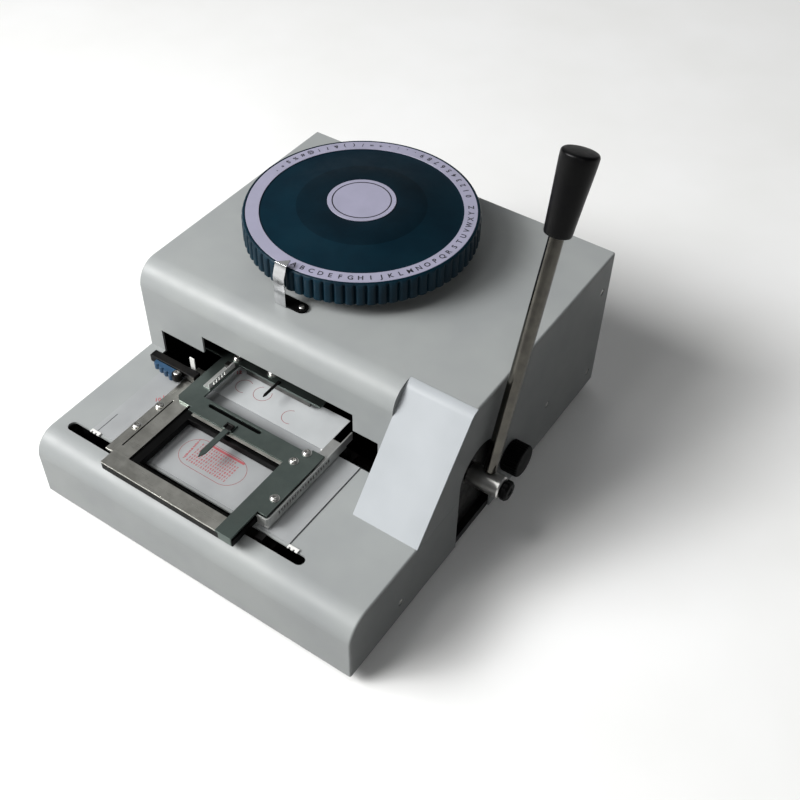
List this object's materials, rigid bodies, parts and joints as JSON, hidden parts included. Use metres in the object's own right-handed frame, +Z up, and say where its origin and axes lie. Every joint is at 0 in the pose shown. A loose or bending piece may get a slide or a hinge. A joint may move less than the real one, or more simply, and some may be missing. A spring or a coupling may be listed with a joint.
{
  "type": "dog tag embossing machine",
  "caption": "Hand-operated character embosser: an index wheel picks the letter, a sliding carriage holds the tag and a pull lever presses punch and die together.",
  "frame": {"origin": "centre of the overall box at the height of the feet", "axes": "+X to the operator's right, +Y away from the operator, +Z up"},
  "size_m": [0.36, 0.4, 0.3479],
  "materials": {
    "case_paint": "warm white powder coat, fine satin texture",
    "ramp_paint": "bright white enamel",
    "teal_plastic": "deep teal moulded plastic",
    "label_print": "printed label film",
    "stainless": "brushed stainless sheet",
    "zinc": "grey-green zinc plated steel",
    "chrome": "polished",
    "steel": "turned and ground steel",
    "dark_steel": "black oxide steel",
    "brass": "turned bearing brass",
    "black_plastic": "moulded black plastic",
    "blue_plastic": "moulded blue plastic",
    "rubber": "moulded rubber"
  },
  "bodies": {
    "case": {"base_plate": "dark_steel", "side_panel_left": "case_paint", "side_panel_right": "case_paint", "deck_cover": "case_paint", "top_cover": "case_paint", "ramp_cover": "ramp_paint", "rear_panel": "case_paint", "foot_front_left": "rubber", "foot_front_right": "rubber", "foot_rear_left": "rubber", "foot_rear_right": "rubber", "guide_plate": "label_print", "frame_plate_left": "dark_steel", "frame_plate_middle": "dark_steel", "frame_plate_right": "dark_steel", "shaft_bush_middle": "brass", "shaft_bush_right": "brass", "front_guide_rod": "steel", "rear_guide_rod": "steel", "rod_bracket_left": "dark_steel", "rod_bracket_right": "dark_steel", "upper_rocker_shaft": "steel", "lower_rocker_shaft": "steel", "wheel_spindle": "steel", "detent_spring": "steel", "return_spring": "steel", "pointer_clip": "chrome"},
    "type_wheel": {"hub_sleeve": "dark_steel", "punch_disc": "steel", "die_disc": "steel", "index_disc": "steel", "knob_wheel": "teal_plastic", "label_ring": "label_print", "label_disc": "label_print"},
    "detent": {"detent_arm": "steel", "detent_roller": "steel"},
    "lever": {"main_shaft": "steel", "lever_hub": "steel", "lever_rod": "stainless", "lever_grip": "black_plastic", "end_bolt": "black_plastic", "upper_cam": "steel", "lower_cam": "steel"},
    "upper_rocker": {"upper_rocker": "dark_steel", "upper_cam_roller": "steel"},
    "lower_rocker": {"lower_rocker": "dark_steel", "lower_cam_roller": "steel"},
    "x_carriage": {"left_side_rail": "stainless", "right_side_rail": "stainless", "front_slider": "dark_steel", "rear_slider": "dark_steel"},
    "y_frame": {"frame_tray": "black_plastic", "face_plate": "stainless", "pointer_plate": "zinc", "window_needle": "steel", "tag_holder": "steel", "tag_clamp": "steel"},
    "release": {"release_bar": "dark_steel", "release_grip": "blue_plastic"},
    "pitch": {"pitch_knob": "black_plastic"}
  },
  "joints": [
    {"name": "wheel_turn", "type": "hinge", "parent": "case", "child": "type_wheel", "pos_m": [-0.042, 0.0855, 0.165], "axis": [0, 0, 1], "continuous": true},
    {"name": "detent_swing", "type": "hinge", "parent": "case", "child": "detent", "pos_m": [0.06, 0.13, 0.126], "axis": [0, 0, 1], "range_deg": [0, 4]},
    {"name": "lever_pull", "type": "hinge", "parent": "case", "child": "lever", "pos_m": [0.158, -0.02, 0.076], "axis": [1, 0, 0], "range_deg": [0, 65]},
    {"name": "upper_rocker_swing", "type": "hinge", "parent": "case", "child": "upper_rocker", "pos_m": [-0.042, -0.0395, 0.126], "axis": [1, 0, 0], "range_deg": [-6, 0]},
    {"name": "lower_rocker_swing", "type": "hinge", "parent": "case", "child": "lower_rocker", "pos_m": [-0.042, -0.0395, 0.03], "axis": [1, 0, 0], "range_deg": [0, 6.5]},
    {"name": "carriage_slide", "type": "slide", "parent": "case", "child": "x_carriage", "axis": [1, 0, 0], "range_m": [-0.035, 0.022]},
    {"name": "frame_slide", "type": "slide", "parent": "x_carriage", "child": "y_frame", "axis": [0, 1, 0], "range_m": [0, 0.028]},
    {"name": "release_swing", "type": "hinge", "parent": "x_carriage", "child": "release", "pos_m": [-0.112, -0.072, 0.0793], "axis": [0, 0, 1], "range_deg": [-5, 0]},
    {"name": "pitch_turn", "type": "hinge", "parent": "case", "child": "pitch", "pos_m": [0.151, 0.03, 0.057], "axis": [1, 0, 0], "range_deg": [-60, 60]}
  ],
  "couplings": [
    {"joint": "upper_rocker_swing", "follows": "lever_pull", "ratio": -0.0881},
    {"joint": "lower_rocker_swing", "follows": "lever_pull", "ratio": 0.0958}
  ]
}
